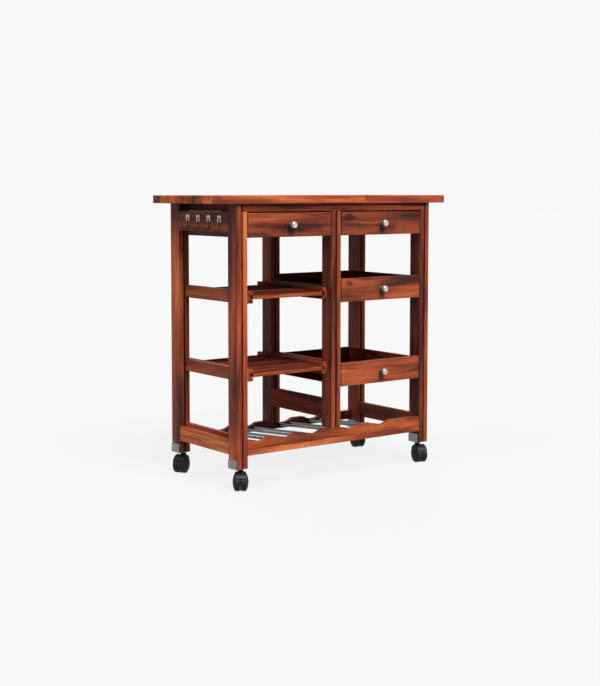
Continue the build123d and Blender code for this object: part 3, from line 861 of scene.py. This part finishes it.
class CART_OT_finish_brackets(bpy.types.Operator):
    """Finish the caster brackets and the rack rods, and add the bracket screws"""
    bl_idname = "cart.finish_brackets"
    bl_label = "Brackets and rods"

    def execute(self, context):
        tints = context.scene.cart_metal
        paint("caster_brackets", metal("zinc_plate", tints.zinc, 0.38, (90.0, 90.0, 900.0), 0.14))
        paint("rack_rods", metal("bright_rod", tints.steel, 0.16, (900.0, 40.0, 900.0), 0.10))
        low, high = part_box("bracket_screws")
        sheet, from_edge = 0.002, 0.010
        heads = []
        for side in SIDES:
            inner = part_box(f"{side}_front_inner_board")
            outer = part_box(f"{side}_front_outer_board")
            if side == "left":
                faces = ((inner[1][0], 1), (outer[0][0], -1))
            else:
                faces = ((inner[0][0], -1), (outer[1][0], 1))
            for leg in LEGS:
                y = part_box(f"{side}_{leg}_inner_board")[1][1] - from_edge
                z = (low[2] + high[2]) / 2
                for x, way in faces:
                    heads += screw_parts((x + way * sheet, y, z), (way, 0, 0), SCREW_DEPTH + sheet)
        make_piece("bracket_screw_heads", heads, screw_steel(tints), "root",
                   ["bracket_screws"])
        return {"FINISHED"}


class CART_OT_add_casters(bpy.types.Operator):
    """Add the twin-wheel casters: hood, neck and stem, and the pair of domed wheels"""
    bl_idname = "cart.add_casters"
    bl_label = "Casters"

    def execute(self, context):
        caster = context.scene.cart_caster
        nylon = moulded("black_nylon", caster.plastic, 0.40)
        tread = moulded("black_tread", scaled(caster.plastic, 1.5), 0.52)
        for side in SIDES:
            for leg in LEGS:
                corner = f"{side}_{leg}"
                roll = joint(f"{corner}_wheels_roll")
                stem = joint(f"{corner}_swivel_turn")["pos_m"]
                hub, axis = roll["pos_m"], roll["axis"]
                make_piece(f"{corner}_wheel_pair", wheel_parts(caster, hub, axis), tread,
                           f"{corner}_wheels",
                           [f"{corner}_caster_wheels"], 30.0)
                make_piece(f"{corner}_hood", hood_parts(caster, hub, axis, stem), nylon,
                           f"{corner}_swivel",
                           [f"{corner}_caster_hood"], 40.0)
        return {"FINISHED"}


def wheel_parts(caster, hub, axis):
    """Two wheels: a flat tread with a fine groove near its outer rim, and a side dome that is an
    arc from the tread's edge to the cap, stepped by a ring round the cap."""
    r, edge, out, gap = caster.wheel_radius, caster.tread_edge, caster.half_width, caster.gap
    rise = out - edge
    sphere = (rise**2 + (r - 0.001) ** 2) / (2 * rise)
    reach = np.linspace(r - 0.001, 0.0105, 14)
    dome = np.stack([out - sphere + np.sqrt(sphere**2 - reach**2), reach], axis=-1)
    cap = np.linspace(0.0088, 0.0, 7)
    cap = np.stack([out - 0.0002 - sphere + np.sqrt(sphere**2 - cap**2), cap], axis=-1)
    ring = dome[-1] + np.array([[-0.0009, -0.0003], [-0.0009, -0.0012]])
    tread = np.array([(gap, r - 0.0012), (gap + 0.0004, r - 0.0004), (gap + 0.0012, r),
                      (edge - 0.0042, r), (edge - 0.0039, r - 0.0004), (edge - 0.0033, r - 0.0004),
                      (edge - 0.0030, r), (edge - 0.0012, r), (edge - 0.0004, r - 0.0003)])
    bore = np.array([(AXLE_HALF + 0.0005, 0.0), (AXLE_HALF + 0.0005, 0.0041), (gap, 0.0041)])
    profile = np.vstack([bore, tread, dome, ring, cap])
    return [lathe(profile * (way, 1.0), hub, axis, caster.facets) for way in (-1.0, 1.0)]


def hood_parts(caster, hub, axis, stem):
    """The hood is a rounded strip carried round the axle; a disc fills between the wheels and
    a turned neck and stem stand on it."""
    axis = unit(axis)
    hub = np.asarray(hub, float)
    up = np.array([0.0, 0.0, 1.0])
    trail = np.cross(axis, up)
    radius, wall, half = caster.hood_radius, caster.hood_wall, caster.hood_half_width
    lift = math.asin(caster.skirt / radius)
    angle = np.linspace(lift, np.pi - lift, 41)
    turn = full_turn(40)
    across = half * signed_power(np.cos(turn), 0.16)
    depth = wall / 2 * signed_power(np.sin(turn), 0.5)
    taper = np.minimum(1.0, 0.55 + 9.0 * np.minimum(angle - lift, np.pi - lift - angle))
    reach = radius - wall / 2 + depth[None, :] * taper[:, None]
    spoke = np.cos(angle)[:, None] * trail + np.sin(angle)[:, None] * up
    strip = hub + reach[..., None] * spoke[:, None] + (across[None, :, None] * axis)
    disc = rounded([(-0.0018, 0.0), (-0.0018, 0.0255), (0.0018, 0.0255), (0.0018, 0.0)], 0.04, 4)
    foot = np.array([stem[0], stem[1], 0.0])
    bottom, top = hub[2] + radius - wall - 0.007, stem[2] - 0.0024
    collar, pin, stem_end = 0.0092, 0.0049, stem[2] - 0.0002
    neck = rounded([(bottom, 0.0), (bottom, collar), (hub[2] + radius - 0.001, collar),
                    (hub[2] + radius + 0.0022, 0.0078), (top - 0.0006, 0.0074), (top, 0.0066),
                    (top, pin), (stem[2] - 0.0006, pin), (stem_end, 0.0044), (stem_end, 0.0)],
                   0.25, 4)
    axle = [(-AXLE_HALF, 0.0), (-AXLE_HALF, 0.0038), (AXLE_HALF, 0.0038), (AXLE_HALF, 0.0)]
    return [capped(strip), lathe(disc, hub, axis, 72), lathe(neck, foot, up, 40),
            lathe(axle, hub, axis, 24)]


class CART_OT_set_stage(bpy.types.Operator):
    """Set up the floor, the studio light and the camera"""
    bl_idname = "cart.set_stage"
    bl_label = "Stage"

    def execute(self, context):
        scene = context.scene
        stage = scene.cart_stage
        scene.view_settings.view_transform = "Standard"
        scene.world = studio_world(stage)

        half = stage.floor_half
        mesh = bpy.data.meshes.new("floor")
        mesh.from_pydata([(-half, -half, 0), (half, -half, 0), (half, half, 0), (-half, half, 0)],
                         [], [(0, 1, 2, 3)])
        paper, tree, shader, place = new_material("pale_floor")
        speck = noise(tree, place, (3.0, 3.0, 3.0), detail=4.0).outputs["Fac"]
        tint = mix(tree, speck, (0.050, 0.050, 0.050), (0.053, 0.053, 0.053))
        tree.links.new(tint, shader.inputs["Base Color"])
        shader.inputs["Roughness"].default_value = 0.9
        shader.inputs["Specular IOR Level"].default_value = 0.0
        shader.inputs["Emission Color"].default_value = (1.0, 1.0, 1.0, 1.0)
        shader.inputs["Emission Strength"].default_value = stage.floor_glow
        mesh.materials.append(paper)
        floor = bpy.data.objects.new("floor", mesh)
        floor.visible_diffuse = False
        floor.visible_glossy = False
        scene.collection.objects.link(floor)

        for name, azimuth, elevation, softness, power in (
                ("key", -6.0, 52.0, 34.0, stage.key_power),
                ("side", -92.0, 50.0, 26.0, stage.key_power * 0.34),
                ("back", 158.0, 38.0, 40.0, stage.key_power * 0.22)):
            light = bpy.data.lights.new(name, "SUN")
            light.angle = math.radians(softness)
            light.energy = power
            lamp = bpy.data.objects.new(name, light)
            lamp.rotation_euler = (math.radians(90.0 - elevation), 0.0, math.radians(azimuth))
            lamp.visible_glossy = name == "key"
            scene.collection.objects.link(lamp)

        lens = bpy.data.cameras.new("camera")
        lens.lens = stage.focal_length
        lens.shift_x = stage.shift_x
        lens.shift_y = stage.shift_y
        lens.clip_end = 200.0
        camera = bpy.data.objects.new("camera", lens)
        camera.location = stage.camera_place
        camera.rotation_euler = (math.pi / 2 - stage.camera_dip, 0.0, stage.camera_turn)
        scene.collection.objects.link(camera)
        scene.camera = camera
        return {"FINISHED"}


def studio_world(stage):
    """A pale backdrop that throws less light on the cart than it shows: the strength steps
    down for diffuse and glossy rays, as it does in a studio with black flags round the set."""
    world = bpy.data.worlds.new("studio")
    world.use_nodes = True
    tree = world.node_tree
    path = add(tree, "LightPath").outputs
    strength = maths(tree, "MULTIPLY_ADD", path["Is Diffuse Ray"], stage.diffuse_share - 1.0, 1.0)
    strength = maths(tree, "MULTIPLY_ADD", path["Is Glossy Ray"], stage.glossy_share - 1.0, strength)
    background = tree.nodes["Background"]
    background.inputs[0].default_value = (*stage.backdrop, 1.0)
    tree.links.new(strength, background.inputs[1])
    return world


# ---- Panel and registration ----

OPERATORS = (CART_OT_set_stage, CART_OT_finish_top, CART_OT_finish_frame, CART_OT_finish_shelves,
             CART_OT_finish_drawers, CART_OT_add_knobs, CART_OT_add_hooks, CART_OT_finish_brackets,
             CART_OT_add_casters)


class CART_PT_panel(bpy.types.Panel):
    """Lists the steps that finish the cart"""
    bl_label = "Bar Cart"
    bl_idname = "CART_PT_panel"
    bl_space_type = "VIEW_3D"
    bl_region_type = "UI"
    bl_category = "Bar Cart"

    def draw(self, context):
        for operator in OPERATORS:
            self.layout.operator(operator.bl_idname)


CLASSES = (*SETTINGS.values(), *OPERATORS, CART_PT_panel)


def register():
    """Registers the classes and hangs the settings on the scene."""
    for item in CLASSES:
        bpy.utils.register_class(item)
    for name, group in SETTINGS.items():
        setattr(bpy.types.Scene, name, PointerProperty(type=group))


def unregister():
    """Takes the settings and the classes away again."""
    for name in SETTINGS:
        delattr(bpy.types.Scene, name)
    for item in reversed(CLASSES):
        bpy.utils.unregister_class(item)


def main():
    """Registers the add-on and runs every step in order."""
    register()
    for operator in OPERATORS:
        family, step = operator.bl_idname.split(".")
        getattr(getattr(bpy.ops, family), step)()


if __name__ == "__main__":
    main()
